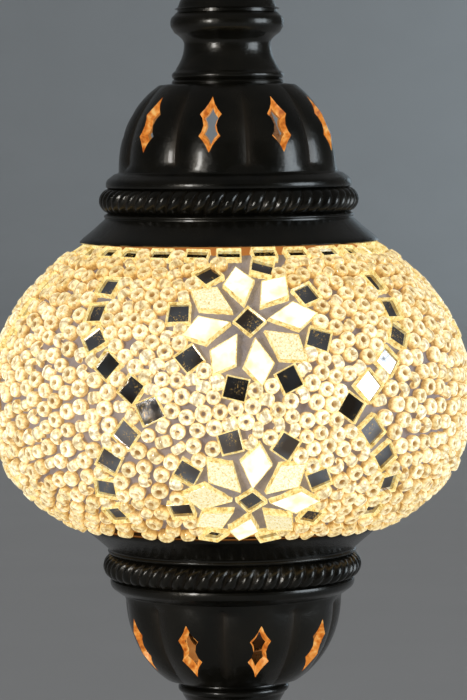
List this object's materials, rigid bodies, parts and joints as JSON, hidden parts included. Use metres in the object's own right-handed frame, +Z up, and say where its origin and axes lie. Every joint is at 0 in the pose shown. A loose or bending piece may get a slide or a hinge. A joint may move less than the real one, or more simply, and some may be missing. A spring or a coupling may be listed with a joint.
{
  "type": "mosaic glass table lamp",
  "caption": "Table lamp with a squat beaded and mirrored mosaic glass globe between two pierced, lobed bronze castings on a weighted foot, with a harp, bulb and screw finial.",
  "frame": {"origin": "centre of the felt's underside, on the surface the lamp stands on", "axes": "+Z up along the lamp's axis, front towards -Y, cable inlet towards +Y"},
  "size_m": [0.1332, 0.1332, 0.3384],
  "materials": {
    "felt": "matt",
    "bronze": "gloss",
    "iron": "matt",
    "rubber": "matt",
    "steel": "satin",
    "brass": "satin",
    "phenolic": "gloss",
    "insulator": "matt",
    "insulator_black": "gloss",
    "globe_glass": "gloss",
    "grout": "matt",
    "bead_glass": "gloss",
    "mirror_glass": "gloss",
    "petal_glass": "gloss",
    "filament": "matt",
    "bulb_glass": "gloss"
  },
  "bodies": {
    "stand": {"felt_pad": "felt", "foot_casting": "bronze", "ballast_disc": "iron", "cable_grommet": "rubber", "foot_washer": "steel", "foot_nut": "steel", "threaded_tube": "steel", "stem_collar": "bronze", "stem_baluster": "bronze", "lower_spool": "bronze", "lower_cup": "bronze", "cup_seal": "rubber", "harp_saddle": "steel", "saddle_nut": "steel", "harp_strip": "steel", "harp_stud": "steel", "holder_base": "phenolic", "holder_shell": "phenolic", "holder_core": "insulator", "thread_sleeve": "brass", "centre_contact": "brass", "side_contact": "brass", "terminal_screws": "brass"},
    "globe": {"glass_globe": "globe_glass", "grout_bed": "grout", "bead_layer": "bead_glass", "frame_mirrors": "mirror_glass", "flower_mirrors": "mirror_glass", "glass_petals": "petal_glass", "rim_mirrors": "mirror_glass"},
    "cap": {"upper_cap": "bronze", "cap_seal": "rubber", "upper_spool": "bronze"},
    "washer": {"finial_washer": "bronze"},
    "finial": {"finial_insert": "brass", "finial": "bronze"},
    "bulb_pin": {"bulb_contact": "steel"},
    "bulb": {"bulb_base": "insulator_black", "bulb_cap": "brass", "bulb_stem": "filament", "bulb_glass": "bulb_glass"}
  },
  "joints": [
    {"name": "globe_lift", "type": "slide", "parent": "stand", "child": "globe", "axis": [0, 0, 1], "range_m": [0, 0.165]},
    {"name": "cap_lift", "type": "slide", "parent": "globe", "child": "cap", "axis": [0, 0, 1], "range_m": [0, 0.08]},
    {"name": "finial_rise", "type": "slide", "parent": "cap", "child": "washer", "axis": [0, 0, 1], "range_m": [0, 0.0101]},
    {"name": "finial_turn", "type": "hinge", "parent": "washer", "child": "finial", "pos_m": [0, 0, 0.3059], "axis": [0, 0, 1], "range_deg": [0, 3600]},
    {"name": "bulb_rise", "type": "slide", "parent": "stand", "child": "bulb_pin", "axis": [0, 0, 1], "range_m": [0, 0.0142]},
    {"name": "bulb_turn", "type": "hinge", "parent": "bulb_pin", "child": "bulb", "pos_m": [0, 0, 0.1577], "axis": [0, 0, 1], "range_deg": [0, 1800]}
  ],
  "couplings": [
    {"joint": "finial_rise", "follows": "finial_turn", "m_per_rad": 0.00015915},
    {"joint": "bulb_rise", "follows": "bulb_turn", "m_per_rad": 0.00044882}
  ]
}
